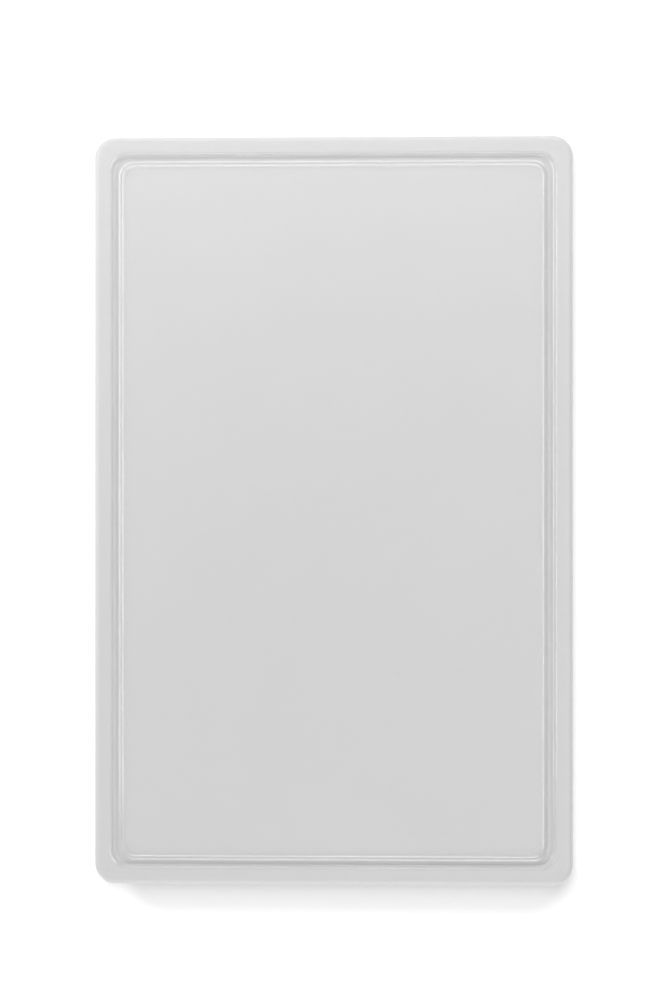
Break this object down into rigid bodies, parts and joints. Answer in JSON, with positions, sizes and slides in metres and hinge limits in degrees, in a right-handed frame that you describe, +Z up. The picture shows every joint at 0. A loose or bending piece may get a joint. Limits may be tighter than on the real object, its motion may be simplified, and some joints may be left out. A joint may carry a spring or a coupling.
{
  "type": "cutting board",
  "caption": "Rounded rectangular plastic cutting board with a juice groove milled round its flat face, standing on small press-in rubber feet.",
  "frame": {"origin": "on the surface that the board stands on, under the board's centre", "axes": "+Z up, out of the cutting face; +Y along the board's longer side; +X across the board"},
  "size_m": [0.32, 0.5, 0.0165],
  "materials": {
    "hdpe_white": "white high-density polyethylene, satin with a very fine embossed grain; milled in the groove",
    "silicone_foot": "matt grey moulded silicone"
  },
  "bodies": {
    "root": {"board_slab": "hdpe_white", "foot_front_left": "silicone_foot", "foot_front_right": "silicone_foot", "foot_rear_left": "silicone_foot", "foot_rear_right": "silicone_foot"}
  },
  "joints": []
}
